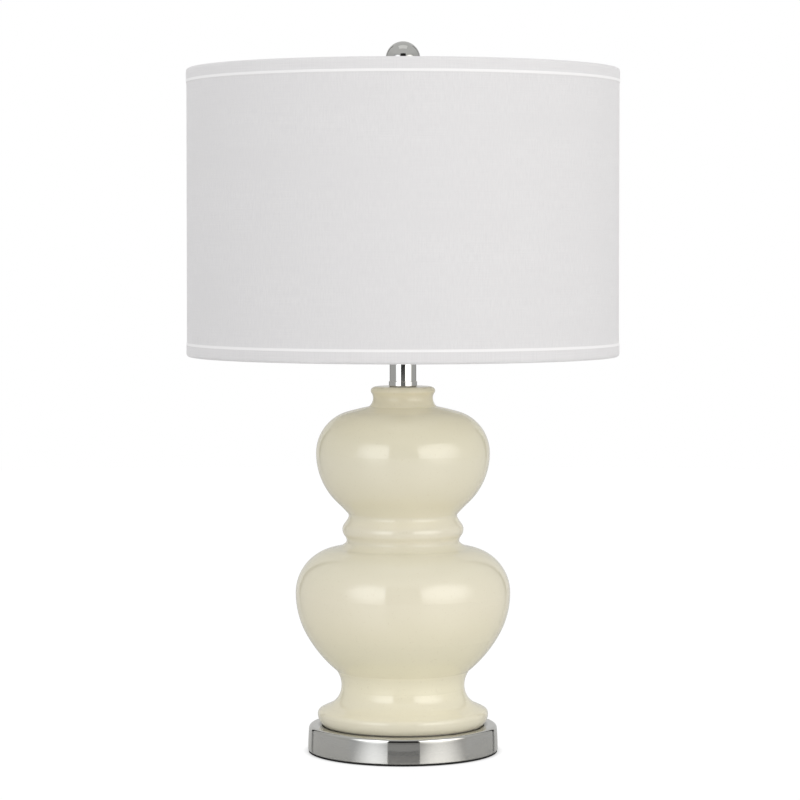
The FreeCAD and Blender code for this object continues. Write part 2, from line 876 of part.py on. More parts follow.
def spider_arm(radius):
    # Out flat from the washer, then up to the top ring.
    z_arm = z_seat + spider_wire_radius
    start = (spider_hub_radius - spider_wire_radius, z_arm)
    bend = (spider_hub_radius + spider_flat, z_arm)
    slope = (z_top_ring - z_arm) / (wire_ring_radius - bend[0] - spider_bend / 2)
    lift = math.atan(slope)
    bend_end = (bend[0] + spider_bend * math.cos(lift / 2), z_arm + spider_bend * math.sin(lift / 2))
    path = (
        straight(start, bend)
        + tangent_arcs([bend, bend_end], 0)
        + straight(bend_end, (wire_ring_radius, z_top_ring))
    )
    return wire_rod(path, radius)


def all_round(arm):
    # One arm points to the back, and the others stand evenly round from it.
    return [arm.copy().rotate(origin, up, 90 + i * 360 / spider_arms) for i in range(spider_arms)]


def top_trim():
    # Notched where the spider's arms pass through the fold to the wire ring.
    band = trim_band().mirror(origin, up).translate(up * z_shade_top)
    return band.cut(all_round(spider_arm(spider_wire_radius + trim_clearance)))


def spider_hub():
    # A washer that sits over the harp's stud.
    return ring(spider_hub_radius, spider_hub_bore, z_seat, z_finial)


def shade_spider():
    # Three arms, each welded to the washer and to the top ring.
    arm = spider_arm(spider_wire_radius).cut([spider_hub(), shade_top_ring()])
    arm = max(arm.Solids, key=lambda solid: solid.Volume)
    return Part.makeCompound(all_round(arm))


# Finial

def finial_neck():
    z_foot_top = z_finial + finial_foot_height
    z_middle = (z_foot_top + z_ball_flat) / 2
    blank = turned(
        straight((0, z_finial), (finial_foot_radius, z_finial), (finial_foot_radius, z_foot_top))
        + tangent_arcs([(finial_waist_radius, z_middle), (finial_foot_radius, z_foot_top)], -90)
        + tangent_arcs([(finial_waist_radius, z_middle), (finial_seat_radius, z_ball_flat)], 90)
        + straight((finial_seat_radius, z_ball_flat), (0, z_ball_flat), (0, z_finial))
    )
    depth = z_seat + stud_length + finial_bore_clearance - z_finial
    bore = Part.makeCylinder(stud_radius + finial_bore_clearance, depth, at((0, z_finial)))
    return blank.cut(bore)


def finial_ball():
    ball = Part.makeSphere(finial_ball_radius, at((0, z_ball)))
    z_below = z_ball_flat - finial_ball_radius
    return ball.cut(Part.makeCylinder(finial_ball_radius, finial_ball_radius, at((0, z_below))))


pieces = [
    felt_pad,
    base_pan,
    cord_bushing,
    rod_washer,
    lock_washer,
    rod_nut,
    threaded_rod,
    foot_gasket,
    ceramic_body,
    neck_gasket,
    neck_collar,
    neck_tube,
    neck_cap,
    harp_saddle,
    saddle_nut,
    harp_bow,
    harp_swivel,
    ferrule_left,
    ferrule_right,
    socket_cap,
    socket_cap_screw,
    socket_shell,
    socket_liner,
    socket_body,
    terminal_screws,
    screw_shell,
    centre_contact,
    switch_stem,
    switch_knob,
    bulb_contact,
    bulb_insulator,
    bulb_screw_base,
    bulb_globe,
    shade_cover,
    shade_liner,
    shade_top_ring,
    shade_bottom_ring,
    spider_hub,
    shade_spider,
    top_trim,
    bottom_trim,
    finial_neck,
    finial_ball,
]

for piece in pieces:
    shape = piece()
    name = piece.__name__
    shape.exportStep("parts/" + name + ".step")
    print(name, "solids", len(shape.Solids), "valid", shape.isValid(), "volume", round(shape.Volume, 1))
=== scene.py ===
import json
from math import atan2, cos, pi, radians, sin

import bpy
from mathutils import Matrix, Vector


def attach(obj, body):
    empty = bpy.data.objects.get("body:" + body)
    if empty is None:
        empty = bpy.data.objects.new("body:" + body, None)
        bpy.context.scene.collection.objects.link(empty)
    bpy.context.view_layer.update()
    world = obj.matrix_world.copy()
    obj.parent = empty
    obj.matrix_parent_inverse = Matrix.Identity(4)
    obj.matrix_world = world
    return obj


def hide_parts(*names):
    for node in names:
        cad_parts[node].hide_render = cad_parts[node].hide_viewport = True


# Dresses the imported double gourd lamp: linen shade, glazed body, plated metal, studio and camera.
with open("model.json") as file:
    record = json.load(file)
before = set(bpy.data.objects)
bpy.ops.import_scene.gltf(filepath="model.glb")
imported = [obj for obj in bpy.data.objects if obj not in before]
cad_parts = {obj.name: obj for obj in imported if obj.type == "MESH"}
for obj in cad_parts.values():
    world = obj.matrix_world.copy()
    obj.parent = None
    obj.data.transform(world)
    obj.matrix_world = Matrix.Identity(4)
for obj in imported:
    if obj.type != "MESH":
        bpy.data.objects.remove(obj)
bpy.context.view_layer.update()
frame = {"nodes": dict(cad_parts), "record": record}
nodes = frame["nodes"]

mm = 0.001


# What all the pieces use.

def selectOnly(*objects):
    if bpy.context.object and bpy.context.object.mode != "OBJECT":
        bpy.ops.object.mode_set(mode="OBJECT")
    bpy.ops.object.select_all(action="DESELECT")
    for item in objects:
        item.select_set(True)
    bpy.context.view_layer.objects.active = objects[-1] if objects else None


def nameIt(name):
    made = bpy.context.object
    made.name = name
    made.data.name = name
    return made


def applyAll(piece):
    # Modifiers first, then place and size, so the finished piece sits at the origin.
    selectOnly(piece)
    for modifier in list(piece.modifiers):
        bpy.ops.object.modifier_apply(modifier=modifier.name)
    bpy.ops.object.transform_apply(location=True, rotation=True, scale=True)


def tidyNormals(piece, merge=0.00001):
    selectOnly(piece)
    bpy.ops.object.mode_set(mode="EDIT")
    bpy.ops.mesh.select_all(action="SELECT")
    bpy.ops.mesh.remove_doubles(threshold=merge)
    bpy.ops.mesh.normals_make_consistent(inside=False)
    bpy.ops.object.mode_set(mode="OBJECT")


def smooth(piece, angle=40):
    selectOnly(piece)
    bpy.ops.object.shade_smooth_by_angle(angle=radians(angle))


def wear(piece, material):
    piece.data.materials.clear()
    piece.data.materials.append(material)


def finishPiece(piece, body, material, stands=()):
    wear(piece, material)
    if stands:
        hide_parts(*stands)
    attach(piece, body)
    return piece


def point(radius, height):
    return Vector((radius * mm, height * mm))


def arcChain(points, angle):
    # Bezier pieces of arcs that follow on smoothly from the angle at the first point.
    pieces = []
    for start, end in zip(points, points[1:]):
        chord = end - start
        lean = atan2(chord.y, chord.x)
        half = (lean - angle + pi) % (2 * pi) - pi
        reach = chord.length / (3 * cos(half / 2) ** 2)
        leave = lean + half
        startHandle = start + reach * Vector((cos(angle), sin(angle)))
        endHandle = end - reach * Vector((cos(leave), sin(leave)))
        pieces.append((start, startHandle, endHandle, end))
        angle = leave
    return pieces


def backwards(pieces):
    return [tuple(reversed(piece)) for piece in reversed(pieces)]


def lineChain(points):
    pieces = []
    for start, end in zip(points, points[1:]):
        pieces.append((start, start.lerp(end, 1 / 3), start.lerp(end, 2 / 3), end))
    return pieces


def drawOutline(name, pieces, fineness):
    # A bezier curve in the XZ plane, drawn piece by piece and turned into edges.
    selectOnly()
    bpy.ops.curve.primitive_bezier_curve_add(location=(0, 0, 0))
    outline = nameIt(name)
    spline = outline.data.splines[0]
    spline.bezier_points.add(len(pieces) + 1 - len(spline.bezier_points))
    for knot in spline.bezier_points:
        knot.handle_left_type = knot.handle_right_type = "FREE"
    for number, (start, startHandle, endHandle, end) in enumerate(pieces):
        first, second = spline.bezier_points[number], spline.bezier_points[number + 1]
        first.co = (start.x, 0, start.y)
        first.handle_right = (startHandle.x, 0, startHandle.y)
        second.handle_left = (endHandle.x, 0, endHandle.y)
        second.co = (end.x, 0, end.y)
    spline.bezier_points[0].handle_left = spline.bezier_points[0].co
    spline.bezier_points[-1].handle_right = spline.bezier_points[-1].co
    outline.data.dimensions = "3D"
    spline.resolution_u = fineness
    bpy.ops.object.convert(target="MESH")
    return bpy.context.object


def spinAround(outline, steps):
    selectOnly(outline)
    bpy.ops.object.mode_set(mode="EDIT")
    bpy.ops.mesh.select_all(action="SELECT")
    bpy.ops.mesh.spin(steps=steps, angle=2 * pi, center=(0, 0, 0), axis=(0, 0, 1))
    bpy.ops.object.mode_set(mode="OBJECT")
    tidyNormals(outline)


def addWall(piece, thickness, offset=-1.0):
    wall = piece.modifiers.new("wall", "SOLIDIFY")
    wall.thickness = thickness
    wall.offset = offset
    wall.use_even_offset = True
    wall.use_rim = True


# Materials.

def startMaterial(name):
    material = bpy.data.materials.new(name)
    material.use_nodes = True
    tree = material.node_tree
    tree.nodes.clear()
    output = tree.nodes.new("ShaderNodeOutputMaterial")
    shader = tree.nodes.new("ShaderNodeBsdfPrincipled")
    tree.links.new(shader.outputs["BSDF"], output.inputs["Surface"])
    return material, tree, shader


def add(tree, kind, links=None, **values):
    # A node with its plain sockets set from values and others joined from links.
    made = tree.nodes.new("ShaderNode" + kind)
    for socket, value in values.items():
        made.inputs[socket.replace("_", " ")].default_value = value
    for socket, source in (links or {}).items():
        tree.links.new(source, made.inputs[socket])
    return made


def sizedCoordinates(tree, scale=(1, 1, 1)):
    coordinates = add(tree, "TexCoord")
    return add(tree, "Mapping", {"Vector": coordinates.outputs["Object"]}, Scale=scale).outputs["Vector"]


def noise(tree, vector, scale, detail=3.0, roughness=0.5, distortion=0.0):
    return add(tree, "TexNoise", {"Vector": vector}, Scale=scale, Detail=detail, Roughness=roughness,
               Distortion=distortion)


def maths(tree, operation, *values):
    # The result of one Math node; each value is a plain number or comes from another node.
    made = tree.nodes.new("ShaderNodeMath")
    made.operation = operation
    for socket, value in zip(made.inputs, values):
        if hasattr(value, "is_linked"):
            tree.links.new(value, socket)
        else:
            socket.default_value = value
    return made.outputs["Value"]


def spread(tree, source, low, high, fromLow=0.3, fromHigh=0.7):
    ranged = add(tree, "MapRange", {"Value": source})
    for socket, value in (("From Min", fromLow), ("From Max", fromHigh), ("To Min", low), ("To Max", high)):
        ranged.inputs[socket].default_value = value
    return ranged.outputs["Result"]


def blendColours(tree, factor, first, second):
    mixed = tree.nodes.new("ShaderNodeMix")
    mixed.data_type = "RGBA"
    tree.links.new(factor, mixed.inputs["Factor"])
    for socket, colour in ((6, first), (7, second)):
        if hasattr(colour, "is_linked"):
            tree.links.new(colour, mixed.inputs[socket])
        else:
            mixed.inputs[socket].default_value = (*colour, 1)
    return mixed.outputs[2]


def bump(tree, height, strength, distance, under=None):
    links = {"Height": height}
    if under:
        links["Normal"] = under
    return add(tree, "Bump", links, Strength=strength, Distance=distance).outputs["Normal"]


def finish(name, look):
    # Colour that drifts in patches, gloss that varies, and a fine grain in relief.
    material, tree, shader = startMaterial(name)
    place = sizedCoordinates(tree, look.get("stretch", (1, 1, 1)))
    patches = noise(tree, place, look["patch"])
    grain = noise(tree, place, look["grain"], detail=5.0, roughness=0.6)
    factor = spread(tree, patches.outputs["Fac"], 0, 1)
    colour = blendColours(tree, factor, look["colour"], look["second"])
    tree.links.new(colour, shader.inputs["Base Color"])
    rough = spread(tree, grain.outputs["Fac"], look["rough"][0], look["rough"][1])
    tree.links.new(rough, shader.inputs["Roughness"])
    relief = bump(tree, grain.outputs["Fac"], look.get("relief", 0.2), look.get("depth", 0.00005))
    tree.links.new(relief, shader.inputs["Normal"])
    for socket, value in look.get("sockets", {}).items():
        shader.inputs[socket].default_value = value
    return material


chromeLook = {
    "colour": (0.70, 0.70, 0.685), "second": (0.67, 0.67, 0.655), "patch": 60.0, "grain": 900.0,
    "rough": (0.03, 0.075), "relief": 0.03, "depth": 0.00002, "sockets": {"Metallic": 1.0},
}
nickelLook = {
    "colour": (0.66, 0.63, 0.57), "second": (0.58, 0.55, 0.50), "patch": 45.0, "grain": 700.0,
    "rough": (0.12, 0.24), "relief": 0.08, "depth": 0.00003, "sockets": {"Metallic": 1.0},
}
nickelShellLook = {
    "colour": (0.70, 0.67, 0.61), "second": (0.62, 0.59, 0.53), "patch": 70.0, "grain": 300.0,
    "stretch": (1, 1, 9), "rough": (0.10, 0.26), "relief": 0.12, "depth": 0.00003,
    "sockets": {"Metallic": 1.0},
}
zincLook = {
    "colour": (0.55, 0.56, 0.56), "second": (0.42, 0.43, 0.45), "patch": 220.0, "grain": 900.0,
    "rough": (0.28, 0.5), "relief": 0.15, "depth": 0.00004, "sockets": {"Metallic": 1.0},
}
brassLook = {
    "colour": (0.68, 0.47, 0.18), "second": (0.52, 0.34, 0.12), "patch": 180.0, "grain": 800.0,
    "rough": (0.18, 0.36), "relief": 0.1, "depth": 0.00003, "sockets": {"Metallic": 1.0},
}
aluminiumLook = {
    "colour": (0.72, 0.72, 0.73), "second": (0.60, 0.60, 0.61), "patch": 150.0, "grain": 700.0,
    "rough": (0.22, 0.42), "relief": 0.15, "depth": 0.00004, "sockets": {"Metallic": 1.0},
}
solderLook = {
    "colour": (0.50, 0.50, 0.51), "second": (0.34, 0.34, 0.35), "patch": 400.0, "grain": 1400.0,
    "rough": (0.25, 0.55), "relief": 0.4, "depth": 0.00015, "sockets": {"Metallic": 1.0},
}
nylonLook = {
    "colour": (0.012, 0.012, 0.012), "second": (0.02, 0.02, 0.02), "patch": 150.0, "grain": 1800.0,
    "rough": (0.42, 0.62), "relief": 0.25, "depth": 0.00005,
}
rubberLook = {
    "colour": (0.42, 0.40, 0.34), "second": (0.34, 0.32, 0.27), "patch": 90.0, "grain": 1200.0,
    "rough": (0.35, 0.55), "relief": 0.15, "depth": 0.00004,
    "sockets": {"Subsurface Weight": 0.2, "Subsurface Scale": 0.001, "Subsurface Radius": (1.0, 0.9, 0.7)},
}
phenolicLook = {
    "colour": (0.016, 0.014, 0.013), "second": (0.030, 0.026, 0.023), "patch": 260.0, "grain": 900.0,
    "rough": (0.22, 0.38), "relief": 0.1, "depth": 0.00004,
    "sockets": {"Coat Weight": 0.3, "Coat Roughness": 0.2},
}
fibreLook = {
    "colour": (0.20, 0.17, 0.13), "second": (0.11, 0.09, 0.07), "patch": 500.0, "grain": 1500.0,
    "stretch": (1, 1, 0.25), "rough": (0.7, 0.9), "relief": 0.6, "depth": 0.00012,
}
styreneLook = {
    "colour": (0.80, 0.79, 0.77), "second": (0.77, 0.76, 0.73), "patch": 14.0, "grain": 420.0,
    "rough": (0.38, 0.52), "relief": 0.12, "depth": 0.00006,
    "sockets": {"Subsurface Weight": 0.1, "Subsurface Scale": 0.001, "Subsurface Radius": (1.0, 1.0, 0.95)},
}
enamelLook = {
    "colour": (0.74, 0.74, 0.72), "second": (0.69, 0.69, 0.67), "patch": 60.0, "grain": 500.0,
    "rough": (0.25, 0.4), "relief": 0.25, "depth": 0.00006,
    "sockets": {"Coat Weight": 0.5, "Coat Roughness": 0.15},
}
blackGlassLook = {
    "colour": (0.006, 0.006, 0.007), "second": (0.014, 0.013, 0.012), "patch": 300.0, "grain": 800.0,
    "rough": (0.05, 0.16), "relief": 0.1, "depth": 0.00005,
}
frostLook = {
    "colour": (0.84, 0.84, 0.82), "second": (0.80, 0.80, 0.78), "patch": 30.0, "grain": 1600.0,
    "rough": (0.32, 0.46), "relief": 0.1, "depth": 0.00003,
    "sockets": {"Subsurface Weight": 0.6, "Subsurface Scale": 0.004, "Subsurface Radius": (1.0, 0.95, 0.85),
                "Coat Weight": 0.35, "Coat Roughness": 0.12},
}


def glazeMaterial(look):
    # Opaque cream glaze: slow waves in the gloss, faint speckle, and painted light and shade: bands of height where
    # the colour is made lighter or darker.
    material, tree, shader = startMaterial("glossGlaze")
    place = sizedCoordinates(tree)
    clouds = noise(tree, place, look["clouds"], detail=2.0)
    specks = noise(tree, place, look["specks"], detail=1.0)
    depth = add(tree, "SeparateXYZ", {"Vector": place}).outputs["Z"]
    ramp = add(tree, "ValToRGB", {"Fac": spread(tree, depth, 0, 1, 0, look["tall"])})
    stops = ramp.color_ramp.elements
    # Painted light and shade: the colour made lighter or darker band by band up the body, lightest in the foot's
    # cove and at the neck.
    for height, tone in look["paintedLightAndShade"]:
        stop = stops.new(height * mm / look["tall"])
        stop.color = (*(share * colour for share, colour in zip(tone, look["colour"])), 1)
    for spare in (stops[-1], stops[0]):
        stops.remove(spare)
    cloud = spread(tree, clouds.outputs["Fac"], 0, look["cloudShare"])
    cloudy = blendColours(tree, cloud, ramp.outputs["Color"], look["warm"])
    spot = spread(tree, specks.outputs["Fac"], 0, look["speckShare"], *look["speckEdge"])
    tree.links.new(blendColours(tree, spot, cloudy, look["speck"]), shader.inputs["Base Color"])
    ripple = noise(tree, place, look["ripple"], detail=1.0)
    peel = noise(tree, place, look["peel"], detail=2.0)
    slow = bump(tree, ripple.outputs["Fac"], look["rippleStrength"], look["rippleDepth"])
    fine = bump(tree, peel.outputs["Fac"], look["peelStrength"], look["peelDepth"], slow)
    tree.links.new(fine, shader.inputs["Normal"])
    for socket, value in look["sockets"].items():
        shader.inputs[socket].default_value = value
    return material


# Each band of painted light and shade gives a height in mm and how much lighter or darker the glaze's colour is
# painted there.
glazeLook = {
    "colour": (0.835, 0.787, 0.627), "warm": (0.85, 0.80, 0.62), "speck": (0.74, 0.66, 0.49), "tall": 0.4,
    "paintedLightAndShade": [
        (26, (1.00, 1.00, 1.00)), (42, (1.00, 1.00, 1.00)), (50, (1.04, 1.04, 1.03)), (62, (1.12, 1.12, 1.09)),
        (74, (1.08, 1.08, 1.05)), (90, (1.05, 1.05, 0.99)), (120, (1.05, 1.04, 1.00)), (150, (1.03, 1.02, 1.02)),
        (175, (0.98, 0.98, 0.98)), (195, (0.96, 0.97, 0.98)), (207, (1.00, 1.00, 1.05)), (225, (1.00, 1.00, 1.00)),
        (240, (0.98, 0.97, 0.94)), (277, (1.00, 1.00, 1.00)), (300, (1.03, 1.03, 1.00)), (318, (1.07, 1.06, 1.01)),
        (335, (1.09, 1.07, 1.02)), (346, (1.08, 1.06, 1.01)),
    ],
    "clouds": 9.0, "cloudShare": 0.3, "specks": 500.0, "speckShare": 0.25, "speckEdge": (0.66, 0.72),
    "ripple": 16.0, "rippleStrength": 0.035, "rippleDepth": 0.001,
    "peel": 260.0, "peelStrength": 0.05, "peelDepth": 0.00005,
    "sockets": {"Roughness": 0.05, "IOR": 1.56},
}


def spunSteelMaterial(look):
    # Lathe-polished steel: rings round the axis in gloss and relief, and painted shade: the colour darkened towards
    # a dark brown where ambient occlusion finds other parts close by, as round the ceramic's foot.
    material, tree, shader = startMaterial("spunSteel")
    place = sizedCoordinates(tree)
    flat = add(tree, "Mapping", {"Vector": place}, Scale=(1, 1, 0)).outputs["Vector"]
    reach = tree.nodes.new("ShaderNodeVectorMath")
    reach.operation = "LENGTH"
    tree.links.new(flat, reach.inputs[0])
    height = add(tree, "SeparateXYZ", {"Vector": place}).outputs["Z"]
    rings = add(tree, "TexNoise", Scale=look["rings"], Detail=4.0)
    rings.noise_dimensions = "1D"
    tree.links.new(maths(tree, "ADD", reach.outputs["Value"], height), rings.inputs["W"])
    smudge = noise(tree, place, look["smudge"])
    colour = blendColours(tree, spread(tree, smudge.outputs["Fac"], 0, 1), look["colour"], look["second"])
    # Painted shade: ambient occlusion darkens the steel's colour near the foot and other close parts.
    corners = add(tree, "AmbientOcclusion", Distance=look["cornerReach"])
    openness = spread(tree, corners.outputs["AO"], 0, 1, *look["cornerEdge"])
    withPaintedShade = blendColours(tree, openness, look["corner"], colour)
    tree.links.new(withPaintedShade, shader.inputs["Base Color"])
    rough = spread(tree, rings.outputs["Fac"], look["rough"][0], look["rough"][1])
    tree.links.new(rough, shader.inputs["Roughness"])
    relief = bump(tree, rings.outputs["Fac"], look["relief"], look["depth"])
    tree.links.new(relief, shader.inputs["Normal"])
    shader.inputs["Metallic"].default_value = 1.0
    return material


# The painted shade's colour, reach and edges darken the steel near the foot.
steelLook = {
    "colour": (0.68, 0.675, 0.65), "second": (0.64, 0.635, 0.61), "rings": 1800.0, "smudge": 30.0,
    "rough": (0.035, 0.07), "relief": 0.02, "depth": 0.00003,
    "corner": (0.10, 0.09, 0.062), "cornerReach": 0.006, "cornerEdge": (0.3, 0.68),
}


def linenMaterial(name, look):
    # Plain weave on the piece's own UV map, which is in metres, with slubs along both threads.
    material, tree, shader = startMaterial(name)
    cloth = add(tree, "UVMap").outputs["UV"]
    waves, slubs = [], []
    long, across = look["slubLong"], look["slubAcross"]
    for axis, stretch in (("X", (across, long, 1)), ("Y", (long, across, 1))):
        wave = add(tree, "TexWave", {"Vector": cloth}, Scale=look["threads"], Distortion=look["wander"], Detail=1.0)
        wave.bands_direction = axis
        waves.append(wave.outputs["Fac"])
        lines = add(tree, "Mapping", {"Vector": cloth}, Scale=stretch).outputs["Vector"]
        slubs.append(noise(tree, lines, 1.0).outputs["Fac"])
    weave = maths(tree, "MAXIMUM", *waves)
    slub = maths(tree, "ADD", *slubs)
    clouds = noise(tree, cloth, look["clouds"], detail=2.0)
    thread = blendColours(tree, spread(tree, weave, 0, 1, *look["weaveEdge"]), look["gap"], look["thread"])
    slubbed = blendColours(tree, spread(tree, slub, 0, 1, *look["slubEdge"]), thread, look["slub"])
    aged = blendColours(tree, spread(tree, clouds.outputs["Fac"], 0, look["cloudShare"]), slubbed, look["shade"])
    height = add(tree, "SeparateXYZ", {"Vector": sizedCoordinates(tree)}).outputs["Z"]
    fromMiddle = maths(tree, "ABSOLUTE", maths(tree, "SUBTRACT", height, look["middle"]))
    # Painted highlight: a lighter line along the hem of each band, as if its fold caught the light.
    halfHem = (look["hemTo"] - look["hemFrom"]) / 2
    paintedHemHighlight = maths(tree, "COMPARE", fromMiddle, look["hemFrom"] + halfHem, halfHem)
    tree.links.new(blendColours(tree, paintedHemHighlight, aged, look["paintedHemHighlight"]), shader.inputs["Base Color"])
    low = bump(tree, slub, look["slubRelief"], look["slubDepth"])
    high = bump(tree, weave, look["threadRelief"], look["threadDepth"], low)
    tree.links.new(high, shader.inputs["Normal"])
    for socket, value in look["sockets"].items():
        shader.inputs[socket].default_value = value
    return material


# The painted highlight along the bands' hem line runs at a distance from the shade's middle; the cover has none
# within its reach.
linenLook = {
    "gap": (0.66, 0.65, 0.66), "thread": (0.78, 0.77, 0.778), "slub": (0.80, 0.79, 0.795),
    "shade": (0.755, 0.745, 0.752), "threads": 520.0, "wander": 0.4, "weaveEdge": (0.2, 0.9),
    "slubLong": 28.0, "slubAcross": 900.0, "slubEdge": (0.75, 1.25), "clouds": 7.0, "cloudShare": 0.6,
    "middle": 0.51135, "hemFrom": 1.0, "hemTo": 1.1, "paintedHemHighlight": (0.80, 0.79, 0.80),
    "slubRelief": 0.25, "slubDepth": 0.0002, "threadRelief": 0.35, "threadDepth": 0.0001,
    "sockets": {"Roughness": 0.85, "Sheen Weight": 0.25, "Sheen Roughness": 0.5, "Specular IOR Level": 0.2},
}
trimLook = dict(linenLook, hemFrom=0.1222, hemTo=0.1247, paintedHemHighlight=(0.93, 0.92, 0.925))


def feltMaterial(look):
    material, tree, shader = startMaterial("darkFelt")
    place = sizedCoordinates(tree)
    fibres = noise(tree, place, look["fibres"], detail=6.0, roughness=0.7, distortion=1.5)
    clumps = noise(tree, place, look["clumps"], detail=2.0)
    tone = blendColours(tree, spread(tree, clumps.outputs["Fac"], 0, 1), look["colour"], look["second"])
    lint = spread(tree, fibres.outputs["Fac"], 0, look["lintShare"], *look["lintEdge"])
    tree.links.new(blendColours(tree, lint, tone, look["lint"]), shader.inputs["Base Color"])
    relief = bump(tree, fibres.outputs["Fac"], look["relief"], look["depth"])
    tree.links.new(relief, shader.inputs["Normal"])
    for socket, value in look["sockets"].items():
        shader.inputs[socket].default_value = value
    return material


feltLook = {
    "colour": (0.012, 0.012, 0.013), "second": (0.020, 0.020, 0.021), "fibres": 900.0, "clumps": 120.0,
    "lint": (0.06, 0.06, 0.063), "lintShare": 0.5, "lintEdge": (0.45, 0.75), "relief": 0.8, "depth": 0.0003,
    "sockets": {"Roughness": 0.95, "Specular IOR Level": 0.1},
}

chrome = finish("polishedChrome", chromeLook)
nickel = finish("brightNickel", nickelLook)
nickelShell = finish("spunNickelShell", nickelShellLook)
zinc = finish("zincPlate", zincLook)
brass = finish("brightBrass", brassLook)
aluminium = finish("rolledAluminium", aluminiumLook)
solder = finish("leadFreeSolder", solderLook)
nylon = finish("blackNylon", nylonLook)
rubber = finish("clearRubber", rubberLook)
phenolic = finish("blackPhenolic", phenolicLook)
fibre = finish("fibreBoard", fibreLook)
styrene = finish("whiteStyrene", styreneLook)
enamel = finish("whiteEnamel", enamelLook)
blackGlass = finish("blackGlass", blackGlassLook)
frost = finish("frostedGlass", frostLook)
glaze = glazeMaterial(glazeLook)
steel = spunSteelMaterial(steelLook)
linen = linenMaterial("wovenLinen", linenLook)
trimLinen = linenMaterial("trimLinen", trimLook)
felt = feltMaterial(feltLook)

slotMaterials = {
    "felt": felt, "base_steel": steel, "black_nylon": nylon, "zinc_steel": zinc, "clear_rubber": rubber,
    "ivory_glaze": glaze, "chrome": chrome, "nickel_steel": nickel, "nickel_shell": nickelShell,
    "fibre_liner": fibre, "black_phenolic": phenolic, "brass": brass, "aluminium": aluminium,
    "solder": solder, "black_glass": blackGlass, "frosted_glass": frost, "linen": linen,
    "white_styrene": styrene, "white_wire": enamel,
}
for part in frame["record"]["subparts"]:
    wear(nodes[part["node"]], slotMaterials[part["material_slot"]])
print("materials on", len(nodes), "CAD pieces")


# The shade's linen and its bands.

coverSettings = {"radius": 204.3, "bottom": 378.5, "top": 644.1, "columns": 384, "rings": 24, "cloth": 0.5,
                 "lapColumns": 4, "lapRise": 0.3}


def unwrapRound(piece, radius):
    # UVs in metres: round the axis from the back seam, and up the cloth and over the fold.
    layer = piece.data.uv_layers.new(name="cloth")
    for face in piece.data.polygons:
        angles = []
        for corner in face.vertices:
            place = piece.data.vertices[corner].co
            angles.append(atan2(place.x, -place.y))
        if max(angles) - min(angles) > pi:
            angles = [angle + 2 * pi if angle < 0 else angle for angle in angles]
        for loop, angle in zip(face.loop_indices, angles):
            place = piece.data.vertices[piece.data.loops[loop].vertex_index].co
            reach = Vector((place.x, place.y)).length
            layer.data[loop].uv = (angle * radius * mm, place.z + radius * mm - reach)


def coverSheet(settings):
    # The linen, stretched round the liner, with its lap at the back.
    height = (settings["top"] - settings["bottom"]) * mm
    middle = (settings["top"] + settings["bottom"]) / 2 * mm
    selectOnly()
    bpy.ops.mesh.primitive_cylinder_add(
        vertices=settings["columns"], radius=settings["radius"] * mm, depth=height,
        end_fill_type="NOTHING", location=(0, 0, middle),
    )
    cover = nameIt("linenCover")
    bpy.ops.object.transform_apply(location=True, rotation=True, scale=True)
    for edge in cover.data.edges:
        low, high = (cover.data.vertices[i].co.z for i in edge.vertices)
        edge.select = abs(low - high) > height / 2
    bpy.ops.object.mode_set(mode="EDIT")
    bpy.ops.mesh.select_mode(type="EDGE")
    bpy.ops.mesh.subdivide(number_cuts=settings["rings"])
    bpy.ops.object.mode_set(mode="OBJECT")
    halfLap = (settings["lapColumns"] + 0.2) * pi / settings["columns"]
    for vertex in cover.data.vertices:
        offSeam = abs(atan2(vertex.co.x, vertex.co.y))
        if offSeam < halfLap:
            outward = Vector((vertex.co.x, vertex.co.y, 0)).normalized()
            vertex.co += outward * settings["lapRise"] * mm
    addWall(cover, settings["cloth"] * mm)
    applyAll(cover)
    tidyNormals(cover)
    smooth(cover, 30)
    unwrapRound(cover, settings["radius"])
    return finishPiece(cover, "shade", linen, ("shade_cover",))


trimSettings = {"outer": 204.55, "inner": 198.75, "bend": 2.45, "width": 13.2, "innerWidth": 6.0, "cloth": 0.5,
                "bottom": 375.8, "top": 646.8, "steps": 288, "fineness": 6}


def trimBand(name, settings, atTop):
    # A linen strip over the rim, down the outside and in over the wire ring.
    outer, inner, bend = settings["outer"], settings["inner"], settings["bend"]
    middle = settings["cloth"] / 2
    stations = [
        point(outer, settings["width"]), point(outer, middle + bend), point(outer - bend, middle),
        point(inner + bend, middle), point(inner, middle + bend), point(inner, settings["innerWidth"]),
    ]
    band = drawOutline(name, arcChain(stations, -pi / 2), settings["fineness"])
    spinAround(band, settings["steps"])
    if atTop:
        selectOnly(band)
        bpy.ops.transform.mirror(
            orient_type="GLOBAL", constraint_axis=(False, False, True), center_override=(0, 0, 0),
        )
        band.location.z = settings["top"] * mm
    else:
        band.location.z = settings["bottom"] * mm
    addWall(band, settings["cloth"] * mm, 0.0)
    applyAll(band)
    tidyNormals(band)
    smooth(band, 50)
    unwrapRound(band, outer)
    return finishPiece(band, "shade", trimLinen, ("top_trim" if atTop else "bottom_trim",))


cover = coverSheet(coverSettings)
topBand = trimBand("topBand", trimSettings, True)
bottomBand = trimBand("bottomBand", trimSettings, False)
print("shade dressed")


# The base's pressed steel pan, with its slightly barrelled wall.

panSettings = {"rodHole": 5.3, "plateEdge": 85.75, "top": 25.4, "shoulder": 89.34, "shoulderHeight": 22.1,
               "radius": 90.2, "heel": 2.4, "heelRound": 1.2, "bottom": 1.2, "flange": 81.2, "wall": 1.5,
               "outletHeight": 13.3, "outletRadius": 5.35, "outletDepth": 20, "outletSides": 48, "steps": 320,
               "fineness": 10}


